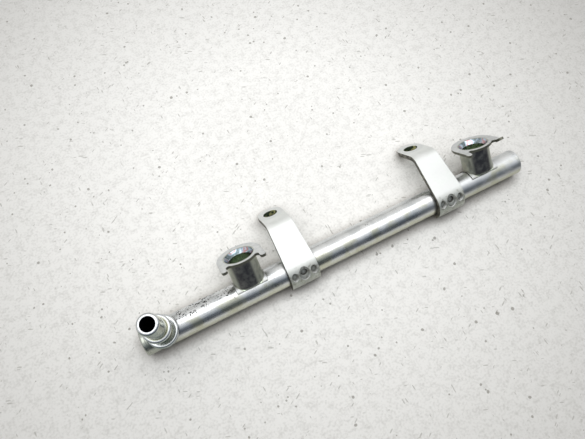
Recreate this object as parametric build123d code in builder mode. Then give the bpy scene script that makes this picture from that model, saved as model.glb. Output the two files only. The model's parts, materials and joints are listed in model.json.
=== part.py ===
from build123d import *
import os
from math import acos, atan2, cos, degrees, hypot, radians, sin

# Fuel rail for two injectors, in millimetres.
# A closed steel tube carries two injector cups, two strap brackets and a quick-connect inlet.
# It is modelled with the tube along X, the cups opening to +Z and the straps round the -Y side.
# At the end it is laid down as it rests, on the tube and on the ends of both bracket tabs.

# Tube
tube_outer = 12.7
tube_wall = 1.2
port_bore = 4.5

# Plugs that close the tube
plug_head = 1.8
plug_round = 0.8
plug_spigot = 4.0
plug_wall = 1.0
braze_gap = 0.05

# Injector cups, the first one's distance from the inlet end and the far end's distance from the last one
first_cup_x = 53.8
cup_spacing = 128.0
past_last_cup = 21.1
cup_mouth = 18.9
cup_bore = 11.2
cup_wall = 1.6
cup_floor = 1.6
cup_foot = 4.5
foot_round = 0.9
mouth_round = 0.5
lead_in_width = 1.4
lead_in_depth = 2.2

# Flange of a cup, a ring with two prongs that keep the injector's clip from turning
flange_sheet = 1.25
flange_back = 10.5
flange_front = 8.9
prong_width = 2.6
prong_gap = 6.3
prong_gap_round = 1.2
prong_reach = 10.6
prong_round = 1.2
flange_root = 0.6
bent_left_prong = -0.4
bent_right_prong = 1.5

# Saddle that carries a cup's foot on the tube
saddle_length = 15.1
saddle_wall = 0.5
saddle_edge = 3.9

# Strap brackets, each placed from the cup next to it
bolt_1_past_cup = 23.8
bolt_2_before_cup = 23.2
strap_sheet = 2.3
strap_width = 14.6
tab_width = 12.4
tab_height = 22.7
tab_corner = 5.9
bolt_hole = 7.0
bolt_reach = 19.5
bolt_edge = 7.1
web_lean = 38.3
bend_inside = 4.5
wrap_short_of_bottom = 18.0

# Staking marks pressed into a strap where it lies on the tube, oval and narrower at their bottom
stake_pitch = 4.85
small_stake = (2.9, 4.2)
small_stake_depth = 1.2
large_stake = (5.2, 7.4)
large_stake_depth = 1.0
stake_narrowing = 0.5
stake_hole = 3.3
stake_hole_floor = 0.35
stake_hole_rise = 0.5

# Inlet, a quick-connect tube end, leaning away from the tabs and a little towards its end of the tube
inlet_x = 10.1
inlet_lean = 51.7
inlet_tilt = 2.0
inlet_length = 34.0
inlet_outer = 9.3
inlet_bore = 6.2
inlet_tip_round = 1.2
bead_height = 17.2
bead_outer = 12.5
bead_width = 2.4
bead_round = 1.1
seat_outer = 14.8
seat_top = 7.4
seat_edge = 4.4
seat_round = 1.0

# A radius read back from the model matches within this
radius_match = 0.001

tube_r = tube_outer / 2
bottom_angle = 270
tube_bore_r = tube_r - tube_wall
cup_r = cup_bore / 2 + cup_wall
cup_xs = [first_cup_x, first_cup_x + cup_spacing]
bolt_xs = [cup_xs[0] + bolt_1_past_cup, cup_xs[1] - bolt_2_before_cup]
rail_length = cup_xs[1] + past_last_cup
# Longer than anything it cuts
beyond = tube_outer + tab_height + bolt_reach
inlet_direction = Vector(
    -sin(radians(inlet_tilt)),
    -cos(radians(inlet_tilt)) * sin(radians(inlet_lean)),
    cos(radians(inlet_tilt)) * cos(radians(inlet_lean)),
)
inlet_foot = Plane(origin=(inlet_x, 0, 0), x_dir=(1, 0, 0), z_dir=inlet_direction)


# Tube, with a port under each cup and one under the inlet
with BuildPart() as rail_tube:
    with BuildSketch(Plane.YZ.offset(plug_head)):
        Circle(tube_r)
        Circle(tube_bore_r, mode=Mode.SUBTRACT)
    extrude(amount=rail_length - 2 * plug_head)
    with BuildSketch(Plane.XY):
        with Locations(*[(x, 0) for x in cup_xs]):
            Circle(port_bore / 2)
    extrude(amount=tube_outer, mode=Mode.SUBTRACT)
    with BuildSketch(inlet_foot):
        Circle(inlet_bore / 2)
    extrude(amount=tube_outer, mode=Mode.SUBTRACT)


# Plug with a rounded head and a hollow spigot, inward is 1 at the inlet end and -1 at the far end
def end_plug(head_x, inward):
    spigot_r = tube_bore_r - braze_gap
    seat_x = head_x + inward * plug_head
    with BuildPart() as plug:
        with BuildSketch(Plane.YZ.offset(head_x)):
            Circle(tube_r)
        extrude(amount=inward * plug_head)
        fillet(plug.edges().sort_by(Axis.X)[0 if inward > 0 else -1], plug_round)
        with BuildSketch(Plane.YZ.offset(seat_x)):
            Circle(spigot_r)
            Circle(spigot_r - plug_wall, mode=Mode.SUBTRACT)
        extrude(amount=inward * plug_spigot)
    return plug


inlet_end_plug = end_plug(0, 1)
far_end_plug = end_plug(rail_length, -1)


# Cup with its pronged flange, its saddle on the tube and the feed hole in its floor
# Each prong has the rise of its tip above the flange, 0 where it is straight
def injector_cup(x, left_rise=0, right_rise=0):
    prong_root = prong_gap + prong_gap_round
    with BuildPart() as cup:
        with BuildSketch(Plane.XY.offset(cup_foot)):
            with Locations((x, 0)):
                Circle(cup_r)
        extrude(amount=cup_mouth - cup_foot)
        fillet(cup.edges().group_by(Axis.Z)[0], foot_round)
        with BuildSketch(Plane.XY.offset(cup_mouth - flange_sheet)):
            with Locations((x, 0)):
                Circle(flange_back)
                Rectangle(2 * flange_back, prong_root, align=(Align.CENTER, Align.MAX))
                with Locations((0, -prong_root)):
                    Rectangle(2 * flange_back, beyond, align=(Align.CENTER, Align.MAX), mode=Mode.SUBTRACT)
                with Locations((0, -prong_gap)):
                    RectangleRounded(
                        2 * (flange_back - prong_width), beyond, prong_gap_round,
                        align=(Align.CENTER, Align.MAX), mode=Mode.SUBTRACT,
                    )
                Circle(flange_front)
        extrude(amount=flange_sheet)
        root = cup.faces().filter_by(Axis.Z).sort_by(Axis.Z)[-2].edges().filter_by(GeomType.CIRCLE)
        fillet(root.filter_by(lambda edge: abs(edge.radius - cup_r) < radius_match), flange_root)
        for side, rise in ((-1, left_rise), (1, right_rise)):
            prong_length = prong_reach - prong_root
            top = Plane(
                origin=(x + side * (flange_back - prong_width / 2), -prong_root, cup_mouth),
                x_dir=(1, 0, 0), z_dir=(0, rise, prong_length),
            )
            with BuildSketch(top) as prong:
                Rectangle(prong_width, prong_length, align=(Align.CENTER, Align.MAX))
                fillet(prong.vertices().group_by(Axis.Y)[0], prong_round)
                Rectangle(prong_width, flange_sheet)
            extrude(amount=-flange_sheet)
        with BuildSketch(Plane.YZ.offset(x)):
            Circle(tube_r + saddle_wall)
            with Locations((0, saddle_edge)):
                Rectangle(beyond, beyond, align=(Align.CENTER, Align.MAX), mode=Mode.SUBTRACT)
        extrude(amount=saddle_length / 2, both=True)
        with BuildSketch(Plane.YZ.offset(x)):
            Circle(tube_r)
        extrude(amount=beyond, both=True, mode=Mode.SUBTRACT)
        with BuildSketch(Plane.XY.offset(cup_mouth)):
            with Locations((x, 0)):
                Circle(cup_bore / 2)
        extrude(amount=-(cup_mouth - tube_r - cup_floor), mode=Mode.SUBTRACT)
        with Locations((x, 0, cup_mouth)):
            Cone(
                cup_bore / 2, cup_bore / 2 + lead_in_width, lead_in_depth,
                align=(Align.CENTER, Align.CENTER, Align.MAX), mode=Mode.SUBTRACT,
            )
        mouth = cup.edges().filter_by(GeomType.CIRCLE).filter_by(
            lambda edge: abs(edge.radius - cup_bore / 2 - lead_in_width) < radius_match)
        fillet(mouth, mouth_round)
        with BuildSketch(Plane.XY):
            with Locations((x, 0)):
                Circle(port_bore / 2)
        extrude(amount=cup_mouth, mode=Mode.SUBTRACT)
    return cup


# As found, the prongs of the second cup are bent, one down and the other up
injector_cup_1 = injector_cup(cup_xs[0])
injector_cup_2 = injector_cup(cup_xs[1], bent_left_prong, bent_right_prong)


# Strap bent round the tube, up as a leaning web and over into a tab with its bolt hole
strap_r = tube_r + strap_sheet
leave_angle = 180 - web_lean
leave = Vector(cos(radians(leave_angle)), sin(radians(leave_angle)))
web = Vector(sin(radians(web_lean)), cos(radians(web_lean)))
tab_end = bolt_reach + bolt_edge


# Corner of the web's line with a level line, for the strap's face that leaves the tube at radius r
def web_corner(r, level):
    start = leave * r
    return start + web * ((level - start.Y) / web.Y)


def strap_bracket(x):
    wrap_end = bottom_angle - wrap_short_of_bottom
    outer_start, inner_start = leave * strap_r, leave * tube_r
    outer_corner = web_corner(strap_r, tab_height)
    inner_corner = web_corner(tube_r, tab_height - strap_sheet)
    sheared = Vector(cos(radians(wrap_end)), sin(radians(wrap_end)))
    with BuildPart() as bracket:
        with BuildSketch(Plane.YZ.offset(x - strap_width / 2)):
            with BuildLine():
                CenterArc((0, 0), strap_r, leave_angle, wrap_end - leave_angle)
                FilletPolyline(
                    outer_start, outer_corner, (tab_end, tab_height), radius=bend_inside + strap_sheet
                )
                Line((tab_end, tab_height), (tab_end, tab_height - strap_sheet))
                FilletPolyline(
                    inner_start, inner_corner, (tab_end, tab_height - strap_sheet), radius=bend_inside
                )
                CenterArc((0, 0), tube_r, leave_angle, wrap_end - leave_angle)
                Line(sheared * tube_r, sheared * strap_r)
            make_face()
        extrude(amount=strap_width)
        # The web narrows from the tube to the tab
        web_face = Plane(
            origin=(x, outer_start.X, outer_start.Y), x_dir=(1, 0, 0), z_dir=(0, leave.X, leave.Y)
        )
        web_run = (outer_corner - outer_start).length
        with BuildSketch(web_face):
            for side in (-1, 1):
                with BuildLine():
                    Polyline(
                        (side * strap_width / 2, 0),
                        (side * tab_width / 2, web_run),
                        (side * tab_width / 2, web_run + tab_end),
                        (side * strap_width, web_run + tab_end),
                        (side * strap_width, 0),
                        close=True,
                    )
                make_face()
        extrude(amount=beyond, both=True, mode=Mode.SUBTRACT)
        fillet(bracket.edges().filter_by(Axis.Z).group_by(Axis.Y)[-1], tab_corner)
        with BuildSketch(Plane.XY.offset(tab_height)):
            with Locations((x, bolt_reach)):
                Circle(bolt_hole / 2)
        extrude(amount=-strap_sheet, mode=Mode.SUBTRACT)
        # Staking marks on the side that faces away from the tab
        front = Plane(origin=(x, -strap_r, 0), x_dir=(1, 0, 0), z_dir=(0, -1, 0))
        for offset, (width, height), depth in (
            (-stake_pitch, small_stake, small_stake_depth),
            (0, large_stake, large_stake_depth),
            (stake_pitch, small_stake, small_stake_depth),
        ):
            with BuildSketch(front.offset(stake_narrowing)):
                with Locations((offset, 0)):
                    Ellipse(width / 2 + stake_narrowing, height / 2 + stake_narrowing)
            with BuildSketch(front.offset(-depth)):
                with Locations((offset, 0)):
                    Ellipse(width / 2 - stake_narrowing, height / 2 - stake_narrowing)
            loft(mode=Mode.SUBTRACT)
        with BuildSketch(front):
            with Locations((0, stake_hole_rise)):
                Circle(stake_hole / 2)
        extrude(amount=-(strap_sheet - stake_hole_floor), mode=Mode.SUBTRACT)
    return bracket


bracket_1, bracket_2 = [strap_bracket(x) for x in bolt_xs]


# Inlet: seat on the tube, neck, stop bead and a rounded tip that takes the hose connector
with BuildPart() as inlet_nipple:
    with BuildSketch(inlet_foot.offset(seat_edge)):
        Circle(seat_outer / 2)
    extrude(amount=seat_top - seat_edge)
    fillet(inlet_nipple.faces().filter_by(GeomType.CYLINDER).edges().sort_by(
        Axis((inlet_x, 0, 0), inlet_direction))[-1], seat_round)
    with BuildSketch(inlet_foot.offset(seat_edge)):
        Circle(inlet_outer / 2)
    extrude(amount=inlet_length - seat_edge)
    tip = inlet_nipple.faces().sort_by(Axis((inlet_x, 0, 0), inlet_direction))[-1]
    fillet(tip.edges(), inlet_tip_round)
    with BuildSketch(inlet_foot.offset(bead_height - bead_width / 2)):
        Circle(bead_outer / 2)
    extrude(amount=bead_width)
    bead_rims = inlet_nipple.edges().filter_by(GeomType.CIRCLE)
    fillet(bead_rims.filter_by(lambda edge: abs(edge.radius - bead_outer / 2) < radius_match), bead_round)
    with BuildSketch(inlet_foot):
        Circle(inlet_bore / 2)
    extrude(amount=inlet_length, mode=Mode.SUBTRACT)
    with BuildSketch(Plane.YZ.offset(inlet_x)):
        Circle(tube_r)
    extrude(amount=beyond, both=True, mode=Mode.SUBTRACT)


# The rail rests on the tube and on the far lower edge of each tab: the turn that brings both to one level
tab_under = tab_height - strap_sheet
floor_slope = degrees(acos(tube_r / hypot(tab_end, tab_under)) - atan2(tab_under, tab_end))
lying = Rotation(floor_slope - 90, 0, 0)

pieces = {
    "rail_tube": rail_tube,
    "inlet_end_plug": inlet_end_plug,
    "far_end_plug": far_end_plug,
    "injector_cup_1": injector_cup_1,
    "injector_cup_2": injector_cup_2,
    "bracket_1": bracket_1,
    "bracket_2": bracket_2,
    "inlet_nipple": inlet_nipple,
}

# Origin on the floor, under the middle of the whole rail's box
extent = Compound([lying * piece.part for piece in pieces.values()]).bounding_box()
at_rest = Location((-extent.center().X, -extent.center().Y, -extent.min.Z)) * lying

os.makedirs("parts", exist_ok=True)
for name, piece in pieces.items():
    piece.part = at_rest * piece.part
    piece.part.label = name
    export_step(piece.part, f"parts/{name}.step")
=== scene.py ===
import json
from math import radians
import bpy
from mathutils import Euler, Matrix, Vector

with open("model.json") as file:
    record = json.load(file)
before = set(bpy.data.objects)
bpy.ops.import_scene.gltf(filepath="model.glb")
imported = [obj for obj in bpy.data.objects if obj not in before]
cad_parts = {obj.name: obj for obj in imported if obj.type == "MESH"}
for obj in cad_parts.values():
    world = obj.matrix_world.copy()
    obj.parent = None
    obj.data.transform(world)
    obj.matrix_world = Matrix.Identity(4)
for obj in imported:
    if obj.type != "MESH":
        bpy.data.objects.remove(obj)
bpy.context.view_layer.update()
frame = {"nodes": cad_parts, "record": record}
scene = bpy.context.scene
mounts = {mount["name"]: mount for mount in frame["record"]["mounts"]}

# Camera, where the photograph was taken from
camera_place = (-0.066532, -0.069487, 0.247169)
camera_turn_deg = (21.2285, -2.142, -27.4188)
camera_lens = 32.698
camera_near = 0.01

# Soft key panel, leaning from overhead towards the tabs
key_size = (1.3, 0.7)
key_distance = 1.0
key_lean_deg = 10.0
key_power = 4.2

# Room round it, by the angle from overhead towards the tabs: bright there and dim on the other side
room_sky = (
    (-90, (0.12, 0.13, 0.14)),
    (-70, (0.07, 0.08, 0.10)),
    (-50, (0.19, 0.22, 0.25)),
    (-30, (0.70, 0.73, 0.77)),
    (-10, (1.03, 1.04, 1.05)),
    (50, (0.99, 0.98, 0.96)),
    (90, (0.62, 0.61, 0.58)),
)
backdrop = (0.72, 0.72, 0.70)

# Floor paper, with a painted pool of light: brightest beyond the inlet end and painted darker away from
# there
floor_size = 8.0
paper_white = (0.91, 0.90, 0.87)
paper_painted_falloff = (0.51, 0.50, 0.48)
paper_fleck = (0.20, 0.19, 0.16)
paper_light_pool_centre = (-0.004, 0.043, 0.0)
paper_light_pool_fade = (0.060, 0.210)
paper_roughness = 0.9
# Painted contact shadow on the paper, darker where the rail hides the sky
painted_contact_shadow = (0.16, 0.13, 0.10)
contact_shadow_reach = 0.007
contact_shadow_open = (0.35, 0.95)
contact_shadow_strength = 0.85

# Its mottling, flecks and fibres, with pattern sizes in metres and marks as a share of their spacing
mottle_fine_size = 0.0011
mottle_fine_share = 0.6
mottle_broad_size = 0.004
mottle_broad_share = 0.4
mottle_contrast = (0.46, 0.66)
mottle_strength = 0.26
fleck_spacing = 0.0050
fleck_cloud_size = 0.006
fleck_contrast = (0.42, 0.66)
fleck_radius = 0.17
fleck_strength = 0.7
fibre_turns = (0.4, 1.5, 2.6)
fibre_scale = (130, 620, 0)
fibre_cloud_size = 0.008
fibre_contrast = (0.50, 0.68)
fibre_radius = 0.20
fibre_strength = 0.45

# Zinc plating, painted shade in corners and crevices, and the rounding of edges
zinc_light = (0.74, 0.75, 0.75)
zinc_dark = (0.55, 0.57, 0.58)
# Yellow of the zinc's stains, also used for the painted reflection of the floor
yellow_stain_and_reflection = (0.48, 0.48, 0.35)
satin_light = (0.50, 0.51, 0.43)
satin_dark = (0.36, 0.38, 0.33)
# Colour, reach and strength of the painted shade in corners and crevices
painted_corner_shade = (0.05, 0.047, 0.038)
corner_shade_reach = 0.0016
corner_shade_open = (0.40, 0.90)
corner_shade_strength = 0.9
edge_round = 0.0003
look_samples = 8
contact_samples = 16

# Noise levels between which a patch sets in, and levels of detail in a noise
soft = (0.35, 0.65)
wide = (0.3, 0.7)
early = (0.3, 0.6)
rich, plain, even, smooth = 4.0, 3.0, 2.0, 1.0

# Tube: clouds, lengthwise marks, stains on its lower side, a painted reflection of the floor along its lower
# edge, darker towards the inlet end and a satin far end
tube_cloud_size = 0.007
tube_grain_size = 0.0004
tube_mark_scale = (40, 2600, 2600)
tube_mark_contrast = (0.35, 0.75)
tube_mark_strength = 0.45
tube_stain_size = 0.009
tube_stain_contrast = (0.48, 0.60)
tube_stain_strength = 0.7
tube_stained_side = (0.1, -0.3)
tube_reflecting_side = (-0.80, -0.97)
tube_patchy = (0.5, 1.0)
tube_darker_end = (-0.084, -0.092)
tube_satin_end = (0.045, 0.075)
tube_satin_extra = 0.12
tube_mark_share = 0.4
tube_gloss_range = (0.45, 0.95)
tube_roughness = (0.20, 0.34)
tube_relief = 0.000012

# Black specks on the tube, and pits between the inlet and the first cup
speck_black = (0.015, 0.015, 0.015)
speck_spacing = 0.0013
speck_radius = 0.20
speck_cloud_size = 0.008
speck_contrast = (0.48, 0.72)
speck_roughness = 0.6
pit_spacing = 0.0008
pit_radius = 0.44
pit_cloud_size = 0.003
pit_contrast = (0.32, 0.58)
pitted_length = (-0.088, -0.052)
pitted_fade = 0.006
pitted_side = (-0.35, 0.15)

# Cup: a painted dark reflection on the barrel's front, given by the way it faces, the flange beyond the
# barrel and the cut edge round it
cup_cloud_size = 0.0022
cup_grain_size = 0.0004
cup_roughness = (0.34, 0.48)
cup_relief = 0.00002
dark_reflection_light = (0.21, 0.21, 0.20)
dark_reflection_dark = (0.11, 0.11, 0.115)
painted_reflection_facing = (-0.215, -0.649, 0.730)
dark_reflection_blotch = 0.20
dark_reflection_edge = (0.86, 0.96)
dark_reflection_contrast = (0.40, 0.62)
flange_from = (0.0073, 0.0076)
cut_edge = (0.20, 0.20, 0.16)
cut_edge_level = (0.75, 0.50)

# Inside of a cup: blue, dark and red patches near the mouth and green further down
inside_blue = (0.40, 0.50, 0.60)
inside_green = (0.66, 0.76, 0.62)
inside_red = (0.46, 0.24, 0.25)
inside_dark = (0.10, 0.14, 0.16)
inside_patch_size = 0.0045
inside_blue_contrast = (0.42, 0.50)
inside_red_patches = (0.53, 0.60)
inside_red_fade = 0.02
inside_green_height = (0.0046, 0.0036)
inside_glint = (0.45, 0.8)
inside_glint_strength = 0.5
inside_from = (0.0071, 0.0069)
inside_level = (0.98, 0.90)
inside_gloss = 0.22

# Strap: rings worn round its bolt, painted shade with dark blotches on the side facing away from the light,
# deepest where it wraps the tube, torn and dark on its sheared sides
strap_light = (0.76, 0.77, 0.76)
strap_dark = (0.70, 0.72, 0.70)
strap_cloud_size = 0.005
strap_grain_size = 0.0005
strap_roughness = (0.46, 0.58)
strap_relief = 0.00003
# Open-sky levels between which the strap's corners take painted shade
strap_corner_shade_open = (0.55, 0.98)
ring_rate = 9000.0
ring_strength = (0.15, 0.5)
worn_ring = (0.0037, 0.0066)
worn_fade = 0.0006
strap_shaded_side = (-0.10, -0.45)
strap_shade_strength = (0.3, 0.7)
wrap_deep_shade_side = (-0.55, -0.85)
wrap_deep_shade_strength = (0.35, 1.0)
blotch_size = 0.0016
blotch_contrast = (0.54, 0.64)
blotch_strength = 0.55
sheared_light = (0.20, 0.19, 0.15)
sheared_dark = (0.035, 0.033, 0.027)
sheared_side = (0.75, 0.92)
sheared_scale = (3500, 700, 700)
sheared_contrast = (0.40, 0.62)
sheared_relief = 4.0
sheared_metal = (0.8, 0.5)
hole_green = (0.04, 0.06, 0.035)
hole_yellow = (0.42, 0.42, 0.20)
hole_within = (0.00366, 0.00354)
hole_patch_size = 0.0022
hole_contrast = (0.52, 0.60)

# Inlet: bare collars and lip, yellow-green between them, turning marks, a shaded side and painted black
# shade inside the bore
inlet_light = (0.66, 0.67, 0.56)
inlet_yellow = (0.42, 0.43, 0.28)
inlet_green = (0.15, 0.22, 0.17)
bare_steel = (0.62, 0.64, 0.66)
bore_painted_shade = (0.004, 0.004, 0.006)
inlet_cloud_size = 0.004
inlet_cloud_contrast = (0.35, 0.6)
inlet_grain_size = 0.0005
inlet_roughness = (0.12, 0.24)
inlet_relief = 0.00001
inlet_patch_size = 0.003
inlet_patch_contrast = (0.54, 0.62)
turning_rate = 3500.0
turning_contrast = (0.42, 0.72)
turning_strength = 0.65
collars_from = (0.0049, 0.0053)
lip_from = (0.0072, 0.0079)
shaded_side = (-0.52, -0.82, -0.24)
shade_edge = (0.25, 0.75)
shade_strength = 0.8
shade_patchy = (0.7, 1.0)
shaded_bore_within = (0.00325, 0.00314)


def rgba(colour):
    return (*colour, 1.0)


# A node tree under construction, with short names for the nodes that it is made of
class Nodes:
    def __init__(self, tree):
        self.tree = tree

    # A node with its settings, and with its inputs given in order as values or as links
    def node(self, kind, *inputs, **settings):
        made = self.tree.nodes.new("ShaderNode" + kind)
        for key, value in settings.items():
            setattr(made, key, value)
        for socket, value in zip(made.inputs, inputs):
            self.put(socket, value)
        return made

    def put(self, socket, value):
        if isinstance(value, bpy.types.NodeSocket):
            self.tree.links.new(value, socket)
        elif value is not None:
            socket.default_value = value

    def math(self, operation, *values):
        return self.node("Math", *values, operation=operation).outputs[0]

    def add(self, first, second):
        return self.math("ADD", first, second)

    def times(self, first, second):
        return self.math("MULTIPLY", first, second)

    def vector(self, operation, *values):
        return self.node("VectorMath", *values, operation=operation).outputs["Vector"]

    def dot(self, first, second):
        return self.node("VectorMath", first, second, operation="DOT_PRODUCT").outputs["Value"]

    def length(self, vector):
        return self.node("VectorMath", vector, operation="LENGTH").outputs["Value"]

    def split(self, vector):
        return self.node("SeparateXYZ", vector).outputs

    # A value taken from one span to another and held at its ends
    def remap(self, value, span, to=(0.0, 1.0)):
        return self.node("MapRange", value, *span, *to).outputs["Result"]

    # Where a value lies inside a span, with soft edges
    def band(self, value, span, fade):
        low, high = span
        rising = self.remap(value, (low - fade, low + fade))
        falling = self.remap(value, (high - fade, high + fade), (1.0, 0.0))
        return self.times(rising, falling)

    def mix(self, factor, first, second):
        made = self.node("Mix", data_type="RGBA")
        for index, value in ((0, factor), (6, first), (7, second)):
            self.put(made.inputs[index], rgba(value) if isinstance(value, tuple) else value)
        return made.outputs[2]


# A material that takes its patterns from the place on the part
class Surface(Nodes):
    def __init__(self, name):
        self.material = bpy.data.materials.new(name)
        self.material.use_nodes = True
        super().__init__(self.material.node_tree)
        self.shader = self.tree.nodes["Principled BSDF"]
        self.where = self.node("TexCoord").outputs["Object"]
        self.facing = self.node("TexCoord").outputs["Normal"]

    # A texture whose features have the given size in metres, or are already scaled where size is 1
    def texture(self, kind, size, where=None):
        made = self.node(kind)
        self.put(made.inputs["Vector"], where or self.where)
        self.put(made.inputs["Scale"], 1.0 / size)
        return made

    # Soft noise from 0 to 1
    def noise(self, size, detail, where=None):
        made = self.texture("TexNoise", size, where)
        self.put(made.inputs["Detail"], detail)
        return made.outputs["Fac"]

    # Noise stretched by a scale for each axis
    def stretched(self, scale):
        return self.noise(1.0, rich, self.vector("MULTIPLY", self.where, scale))

    # Distance from the middle of the nearest cell, as a share of the cells' spacing
    def cells(self, spacing, where=None):
        return self.texture("TexVoronoi", spacing, where).outputs["Distance"]

    # Sparse spots no wider than the given radius
    def spots(self, spacing, radius, where=None):
        return self.math("LESS_THAN", self.cells(spacing, where), radius)

    # Place measured from the middle of a mount
    def offset(self, mount):
        return self.vector("SUBTRACT", self.where, mount["pos_m"])

    # Height along a mount's axis, in metres
    def height(self, mount):
        return self.dot(self.offset(mount), mount["axis"])

    # Distance from a mount's axis, in metres
    def away(self, mount):
        return self.length(self.vector("CROSS_PRODUCT", self.offset(mount), mount["axis"]))

    # Share of open sky above the surface, seen as far as reach
    def open_sky(self, reach, samples):
        return self.node("AmbientOcclusion", None, reach, samples=samples).outputs["AO"]

    # Bare metal from its colour, roughness and fine relief, with rounded edges and painted shade darkening
    # its corners and crevices
    def metal(self, colour, roughness, relief, depth, metallic=1.0, corners=corner_shade_open):
        corner_shaded = self.remap(self.open_sky(corner_shade_reach, look_samples), corners, (corner_shade_strength, 0.0))
        rounded = self.node("Bevel", edge_round, samples=look_samples).outputs["Normal"]
        bump = self.node("Bump")
        for name, value in (("Strength", 1.0), ("Distance", depth), ("Height", relief), ("Normal", rounded)):
            self.put(bump.inputs[name], value)
        self.put(self.shader.inputs["Base Color"], self.mix(corner_shaded, colour, painted_corner_shade))
        self.put(self.shader.inputs["Metallic"], metallic)
        self.put(self.shader.inputs["Roughness"], roughness)
        self.put(self.shader.inputs["Normal"], bump.outputs["Normal"])
        return self.material


# Bright zinc on drawn tube: fine marks along it, dull patches with black specks, a painted yellow reflection
# of the floor along its lower edge
def tube_finish():
    s = Surface("tube_zinc")
    along = s.split(s.where)["X"]
    side = s.split(s.facing)["Y"]
    clouds = s.noise(tube_cloud_size, rich)
    marks = s.stretched(tube_mark_scale)
    grain = s.noise(tube_grain_size, even)

    colour = s.mix(s.remap(clouds, soft), zinc_dark, zinc_light)
    colour = s.mix(s.remap(marks, tube_mark_contrast, (0.0, tube_mark_strength)), colour, zinc_dark)
    stains = s.remap(s.noise(tube_stain_size, rich), tube_stain_contrast, (0.0, tube_stain_strength))
    colour = s.mix(s.times(s.remap(side, tube_stained_side), stains), colour, yellow_stain_and_reflection)
    # Painted reflection of the warm floor: a patchy yellow cast where the tube faces -Y, along its lower
    # edge
    painted_floor_reflection = s.times(s.remap(side, tube_reflecting_side), s.remap(grain, wide, tube_patchy))
    colour = s.mix(painted_floor_reflection, colour, yellow_stain_and_reflection)
    # Darker in patches towards the inlet end
    inlet_end_darkening = s.times(s.remap(along, tube_darker_end), s.remap(clouds, early, tube_patchy))
    colour = s.mix(inlet_end_darkening, colour, satin_dark)

    pitted = s.times(s.band(along, pitted_length, pitted_fade), s.remap(side, pitted_side))
    pit_reach = s.remap(s.noise(pit_cloud_size, even), pit_contrast, (0.0, pit_radius))
    pits = s.spots(pit_spacing, s.times(pitted, pit_reach))
    speck_reach = s.remap(s.noise(speck_cloud_size, even), speck_contrast, (0.0, speck_radius))
    specks = s.math("MAXIMUM", s.spots(speck_spacing, speck_reach), pits)
    colour = s.mix(specks, colour, speck_black)

    uneven = s.add(clouds, s.times(marks, tube_mark_share))
    roughness = s.remap(uneven, tube_gloss_range, tube_roughness)
    roughness = s.add(roughness, s.remap(along, tube_satin_end, (0.0, tube_satin_extra)))
    roughness = s.math("MAXIMUM", roughness, s.times(specks, speck_roughness))
    return s.metal(colour, roughness, s.add(marks, grain), tube_relief)


# Satin zinc on a cup, with a painted dark reflection on its front and coloured zinc inside its bore
def cup_finish(number):
    s = Surface(f"cup_zinc_{number}")
    bore = mounts[f"injector_bore_{number}"]
    away = s.away(bore)
    level = s.dot(s.facing, bore["axis"])
    clouds = s.noise(cup_cloud_size, rich)
    grain = s.noise(cup_grain_size, even)

    colour = s.mix(s.remap(clouds, soft), satin_dark, satin_light)
    # Painted dark reflection on the barrel where it faces a fixed direction towards the front, blotched by
    # clouds
    reflection_front = s.math("MULTIPLY_ADD", clouds, dark_reflection_blotch, s.dot(s.facing, painted_reflection_facing))
    dark_reflection = s.mix(s.remap(clouds, dark_reflection_contrast), dark_reflection_dark, dark_reflection_light)
    colour = s.mix(s.remap(reflection_front, dark_reflection_edge), colour, dark_reflection)
    top = s.mix(s.remap(clouds, wide), zinc_dark, zinc_light)
    flange = s.mix(s.remap(level, cut_edge_level), top, cut_edge)
    colour = s.mix(s.remap(away, flange_from), colour, flange)

    patches = s.noise(inside_patch_size, smooth)
    inner = s.mix(s.remap(patches, inside_blue_contrast), inside_dark, inside_blue)
    inner = s.mix(s.band(patches, inside_red_patches, inside_red_fade), inner, inside_red)
    inner = s.mix(s.remap(s.height(bore), inside_green_height), inner, inside_green)
    inner = s.mix(s.remap(grain, inside_glint, (0.0, inside_glint_strength)), inner, zinc_light)
    inside = s.times(s.remap(away, inside_from), s.remap(level, inside_level))
    colour = s.mix(inside, colour, inner)

    roughness = s.remap(clouds, wide, cup_roughness)
    roughness = s.math("SUBTRACT", roughness, s.times(inside, inside_gloss))
    return s.metal(colour, roughness, s.add(clouds, grain), cup_relief)


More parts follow.
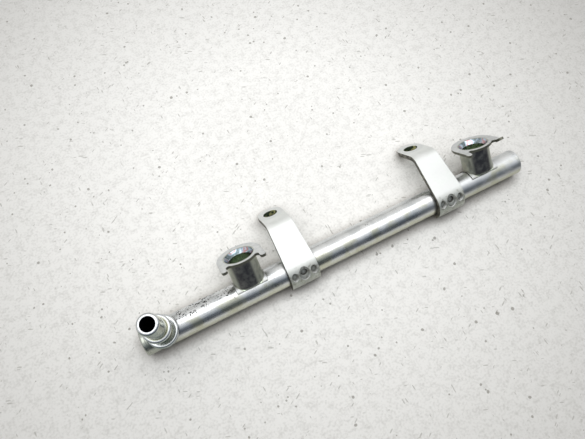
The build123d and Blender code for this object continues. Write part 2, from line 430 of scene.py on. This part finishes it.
# Pale zinc on a strap, worn round its bolt, with rough dark sheared sides and painted shade, deepest on its
# wrapped end
def strap_finish(number):
    s = Surface(f"strap_zinc_{number}")
    facing = s.split(s.facing)
    away = s.away(mounts[f"bolt_hole_{number}"])
    clouds = s.noise(strap_cloud_size, rich)
    grain = s.noise(strap_grain_size, plain)

    colour = s.mix(s.remap(clouds, soft), strap_dark, strap_light)
    rings = s.math("MULTIPLY_ADD", s.math("SINE", s.times(away, ring_rate)), 0.5, 0.5)
    worn = s.times(s.band(away, worn_ring, worn_fade), s.remap(rings, (0.0, 1.0), ring_strength))
    colour = s.mix(worn, colour, zinc_dark)
    # Painted shade where the strap faces -Y, away from the light, deeper where it wraps the tube, with dark
    # blotches in it
    strap_shade = s.remap(facing["Y"], strap_shaded_side)
    colour = s.mix(s.times(strap_shade, s.remap(clouds, soft, strap_shade_strength)), colour, satin_light)
    wrap_shade = s.times(s.remap(facing["Y"], wrap_deep_shade_side), s.remap(grain, wide, wrap_deep_shade_strength))
    colour = s.mix(wrap_shade, colour, satin_dark)
    blotches = s.remap(s.noise(blotch_size, plain), blotch_contrast, (0.0, blotch_strength))
    colour = s.mix(s.times(strap_shade, blotches), colour, sheared_light)

    sheared = s.remap(s.math("ABSOLUTE", facing["X"]), sheared_side)
    torn = s.stretched(sheared_scale)
    colour = s.mix(sheared, colour, s.mix(s.remap(torn, sheared_contrast), sheared_dark, sheared_light))
    hole_patches = s.remap(s.noise(hole_patch_size, smooth), hole_contrast)
    colour = s.mix(s.remap(away, hole_within), colour, s.mix(hole_patches, hole_green, hole_yellow))

    roughness = s.remap(clouds, wide, strap_roughness)
    relief = s.add(grain, s.times(s.times(sheared, torn), sheared_relief))
    metallic = s.remap(sheared, (0.0, 1.0), sheared_metal)
    return s.metal(colour, roughness, relief, strap_relief, metallic, strap_corner_shade_open)


# Turned steel of the inlet: bare at its lip and collars, yellow-green between them, painted black shade
# inside its bore
def inlet_finish():
    s = Surface("inlet_steel")
    height, away = s.height(mounts["inlet"]), s.away(mounts["inlet"])
    clouds = s.noise(inlet_cloud_size, even)
    grain = s.noise(inlet_grain_size, plain)
    turned = s.noise(1.0, even, s.node("CombineXYZ", s.times(height, turning_rate), 0.0, 0.0).outputs[0])

    colour = s.mix(s.remap(clouds, inlet_cloud_contrast), inlet_yellow, inlet_light)
    colour = s.mix(s.remap(s.noise(inlet_patch_size, smooth), inlet_patch_contrast), colour, inlet_green)
    bare = s.math("MAXIMUM", s.remap(away, collars_from), s.remap(height, lip_from))
    colour = s.mix(bare, colour, bare_steel)
    colour = s.mix(s.remap(turned, turning_contrast, (0.0, turning_strength)), colour, satin_dark)
    shade = s.remap(s.dot(s.facing, shaded_side), shade_edge, (0.0, shade_strength))
    colour = s.mix(s.times(shade, s.remap(clouds, early, shade_patchy)), colour, inlet_green)
    # Painted shade: the bore's wall is coloured near-black
    bore = s.remap(away, shaded_bore_within)
    colour = s.mix(bore, colour, bore_painted_shade)

    roughness = s.math("MAXIMUM", s.remap(grain, wide, inlet_roughness), bore)
    return s.metal(colour, roughness, s.add(turned, grain), inlet_relief)


tube_zinc = tube_finish()
finishes = {
    "rail_tube": tube_zinc,
    "inlet_end_plug": tube_zinc,
    "far_end_plug": tube_zinc,
    "injector_cup_1": cup_finish(1),
    "injector_cup_2": cup_finish(2),
    "bracket_1": strap_finish(1),
    "bracket_2": strap_finish(2),
    "inlet_nipple": inlet_finish(),
}
for name, material in finishes.items():
    mesh = frame["nodes"][name].data
    mesh.materials.clear()
    mesh.materials.append(material)


# Floor of recycled paper: fine grey mottling, dark flecks and short fibres, a painted pool of light fading
# from beyond the inlet end, and a painted contact shadow darker close to the rail
def paper_finish():
    s = Surface("paper")
    # Painted pool of light: the paper's colour fades to a darker one away from its centre
    radius = s.length(s.vector("SUBTRACT", s.where, paper_light_pool_centre))
    tone = s.mix(s.remap(radius, paper_light_pool_fade), paper_white, paper_painted_falloff)
    broad = s.times(s.noise(mottle_broad_size, even), mottle_broad_share)
    mottle = s.math("MULTIPLY_ADD", s.noise(mottle_fine_size, rich), mottle_fine_share, broad)
    tone = s.mix(s.remap(mottle, mottle_contrast, (0.0, mottle_strength)), tone, paper_fleck)
    fleck_reach = s.remap(s.noise(fleck_cloud_size, even), fleck_contrast, (0.0, fleck_radius))
    flecks = s.spots(fleck_spacing, fleck_reach)
    tone = s.mix(s.times(flecks, fleck_strength), tone, paper_fleck)
    for turn in fibre_turns:
        turned = s.node("VectorRotate", s.where, paper_light_pool_centre, (0.0, 0.0, 1.0), turn).outputs[0]
        clouds = s.noise(fibre_cloud_size, smooth, turned)
        fibre_reach = s.remap(clouds, fibre_contrast, (0.0, fibre_radius))
        fibres = s.spots(1.0, fibre_reach, s.vector("MULTIPLY", turned, fibre_scale))
        tone = s.mix(s.times(fibres, fibre_strength), tone, paper_fleck)
    # Painted contact shadow: the paper darkens to brown where little open sky is seen near the rail
    contact_shade = s.remap(s.open_sky(contact_shadow_reach, contact_samples), contact_shadow_open, (contact_shadow_strength, 0.0))
    s.put(s.shader.inputs["Base Color"], s.mix(contact_shade, tone, painted_contact_shadow))
    s.put(s.shader.inputs["Roughness"], paper_roughness)
    return s.material


bpy.ops.mesh.primitive_plane_add(size=floor_size)
floor = bpy.context.object
floor.name = "floor"
floor.data.materials.append(paper_finish())

# Key panel, aimed at the rail
key_data = bpy.data.lights.new("key", "AREA")
key_data.shape = "RECTANGLE"
key_data.size, key_data.size_y = key_size
key_data.energy = key_power
key = bpy.data.objects.new("key", key_data)
key.rotation_euler = Euler((-radians(key_lean_deg), 0, 0))
key.location = key.rotation_euler.to_matrix() @ Vector((0, 0, key_distance))
scene.collection.objects.link(key)

# Room, its colour read from the angle from overhead; the camera itself sees a plain pale one
world = bpy.data.worlds.new("room")
world.use_nodes = True
room = Nodes(world.node_tree)
direction = room.split(room.node("TexCoord").outputs["Generated"])
lean = room.math("ARCTAN2", direction["Y"], direction["Z"])
first_deg, last_deg = room_sky[0][0], room_sky[-1][0]
sky = room.node("ValToRGB", room.remap(lean, (radians(first_deg), radians(last_deg))))
places = [(lean_deg - first_deg) / (last_deg - first_deg) for lean_deg, colour in room_sky]
stops = sky.color_ramp.elements
for place in places[1:-1]:
    stops.new(place)
for stop, place, (lean_deg, colour) in zip(stops, places, room_sky):
    stop.position = place
    stop.color = rgba(colour)
seen_by_camera = room.node("LightPath").outputs["Is Camera Ray"]
shown = room.mix(seen_by_camera, sky.outputs["Color"], backdrop)
room.put(room.tree.nodes["Background"].inputs["Color"], shown)
scene.world = world

# Camera
camera_data = bpy.data.cameras.new("camera")
camera_data.lens = camera_lens
camera_data.clip_start = camera_near
camera = bpy.data.objects.new("camera", camera_data)
camera.location = camera_place
camera.rotation_euler = Euler([radians(turn) for turn in camera_turn_deg])
scene.collection.objects.link(camera)
scene.camera = camera

scene.view_settings.view_transform = "Standard"
